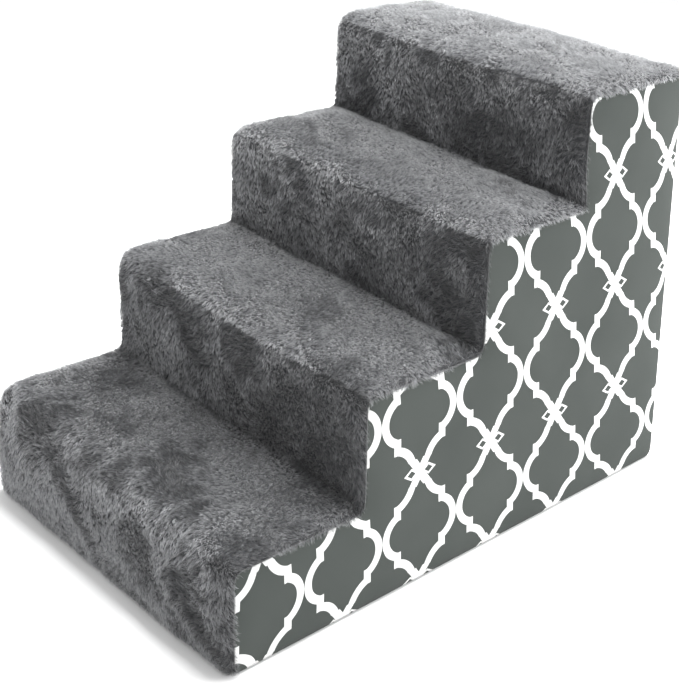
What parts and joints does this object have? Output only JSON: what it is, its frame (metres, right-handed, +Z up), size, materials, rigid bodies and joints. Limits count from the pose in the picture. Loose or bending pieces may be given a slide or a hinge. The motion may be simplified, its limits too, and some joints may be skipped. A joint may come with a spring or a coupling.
{
  "type": "foam pet stairs",
  "caption": "Stepped foam pet stairs in a zipped cover: plush over treads and risers, lattice-printed canvas sides and back, non-slip base.",
  "frame": {"origin": "centre of the footprint, on the surface the stairs stand on", "axes": "+X across the width, towards the right-hand printed side; +Y from the foot of the stairs to the tall back; +Z up"},
  "size_m": [0.4, 0.6102, 0.4572],
  "materials": {
    "foam": "matte",
    "plush": "matte",
    "printed_canvas": "matte",
    "grip_base": "matte",
    "zip_tape": "matte",
    "zip_coil": "satin",
    "zip_metal": "satin"
  },
  "bodies": {
    "stairs": {"foam_slab_1": "foam", "foam_slab_2": "foam", "foam_slab_3": "foam", "foam_slab_4": "foam", "plush_runner": "plush", "side_panel_left": "printed_canvas", "side_panel_right": "printed_canvas", "back_panel_left": "printed_canvas", "back_panel_right": "printed_canvas", "base_panel": "grip_base", "zip_tape_left": "zip_tape", "zip_tape_right": "zip_tape", "zip_coil_left": "zip_coil", "zip_coil_right": "zip_coil", "zip_lower_stops": "zip_metal", "zip_upper_stop": "zip_metal"},
    "slider": {"zip_slider": "zip_metal"},
    "pull": {"zip_pull_tab": "zip_metal"}
  },
  "joints": [
    {"name": "zip_slide", "type": "slide", "parent": "stairs", "child": "slider", "axis": [0, 0, 1], "range_m": [0, 0.371]},
    {"name": "pull_tab_hinge", "type": "hinge", "parent": "slider", "child": "pull", "pos_m": [0, 0.303, 0.0554], "axis": [1, 0, 0], "range_deg": [0, 180]}
  ]
}
